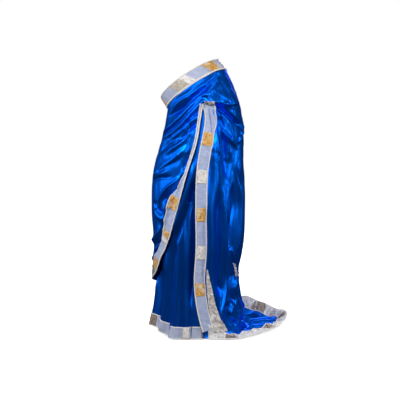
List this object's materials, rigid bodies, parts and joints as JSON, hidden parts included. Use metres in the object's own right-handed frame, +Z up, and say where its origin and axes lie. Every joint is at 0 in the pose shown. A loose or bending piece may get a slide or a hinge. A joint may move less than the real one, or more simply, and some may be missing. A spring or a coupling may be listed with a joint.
{
  "type": "draped costume skirt",
  "caption": "Floor-length draped satin wrap skirt with a tilted waistband, a hip gather, a slit over a pleated underskirt, brocade borders and a short train.",
  "frame": {"origin": "middle of the bounding box on the floor, under the hem", "axes": "+Z up the wearer from hem to waist; +X from the wearer's front to the trailing train; -Y the draped hip"},
  "size_m": [0.6096, 0.4492, 1.1364],
  "materials": {
    "royal_blue_satin": "glossy woven satin, hanging in soft folds",
    "royal_blue_lining_satin": "satin a shade deeper than the wrap",
    "petticoat_cotton": "plain matt cotton",
    "silver_organza_border": "fine silver-blue organza with metallic thread",
    "gold_brocade": "raised gold brocade weave",
    "cream_brocade": "raised cream brocade weave",
    "cream_piping": "narrow satin-covered piping cord",
    "waist_stay_ribbon": "ribbed grosgrain ribbon",
    "zip_tape": "knitted zip tape",
    "zip_metal": "satin brass",
    "polished_steel": "polished nickel-plated wire and sheet"
  },
  "bodies": {
    "skirt": {"outer_wrap": "royal_blue_satin", "train_root": "royal_blue_satin", "cascade_top_fold": "royal_blue_satin", "underskirt": "royal_blue_lining_satin", "box_pleat": "royal_blue_lining_satin", "petticoat": "petticoat_cotton", "front_border": "silver_organza_border", "far_border": "silver_organza_border", "cascade_border": "silver_organza_border", "cascade_return": "silver_organza_border", "back_pinch_border": "silver_organza_border", "hem_border": "silver_organza_border", "box_pleat_border": "silver_organza_border", "waist_border": "silver_organza_border", "train_root_border": "silver_organza_border", "front_gold_patches": "gold_brocade", "cascade_gold_patches": "gold_brocade", "waist_gold_patches": "gold_brocade", "far_patches": "gold_brocade", "front_cream_patches": "cream_brocade", "cascade_cream_patches": "cream_brocade", "waist_cream_patches": "cream_brocade", "hem_patches": "cream_brocade", "box_pleat_patch": "cream_brocade", "front_edge_piping": "cream_piping", "front_inner_piping": "cream_piping", "far_edge_piping": "cream_piping", "far_inner_piping": "cream_piping", "cascade_edge_piping": "cream_piping", "cascade_back_piping": "cream_piping", "hem_foot_piping": "cream_piping", "hem_top_piping": "cream_piping", "box_pleat_piping": "cream_piping", "waist_seam_piping": "cream_piping", "waist_top_piping": "cream_piping", "train_root_edge_piping": "cream_piping", "waist_stay": "waist_stay_ribbon", "zip_tape_front": "zip_tape", "zip_tape_back": "zip_tape", "zip_teeth_front": "zip_metal", "zip_teeth_back": "zip_metal", "zip_top_stop_front": "zip_metal", "zip_top_stop_back": "zip_metal", "zip_bottom_stop": "zip_metal", "waist_hook": "polished_steel", "waist_bar": "polished_steel", "pin_frame": "polished_steel", "pin_cap": "polished_steel"},
    "train": {"train": "royal_blue_satin", "train_border": "silver_organza_border", "train_edge_piping": "cream_piping", "train_inner_piping": "cream_piping", "train_patches": "gold_brocade", "train_fold": "silver_organza_border"},
    "zip_slider": {"zip_slider": "zip_metal"},
    "zip_pull": {"zip_pull": "zip_metal"},
    "pin_needle": {"pin_needle": "polished_steel"}
  },
  "joints": [
    {"name": "train_lift", "type": "hinge", "parent": "skirt", "child": "train", "pos_m": [0.12, 0, 0.003], "axis": [0, -1, 0], "range_deg": [0, 20]},
    {"name": "zip_slide", "type": "slide", "parent": "skirt", "child": "zip_slider", "axis": [0, 0.1918, -0.9814], "range_m": [0, 0.14]},
    {"name": "zip_pull_flip", "type": "hinge", "parent": "zip_slider", "child": "zip_pull", "pos_m": [-0.084, 0.13034, 0.96926], "axis": [1, 0, 0], "range_deg": [0, 120]},
    {"name": "pin_needle_open", "type": "hinge", "parent": "skirt", "child": "pin_needle", "pos_m": [-0.01415, -0.15565, 0.96108], "axis": [0.2797, -0.9398, 0.1961], "range_deg": [0, 35]}
  ]
}
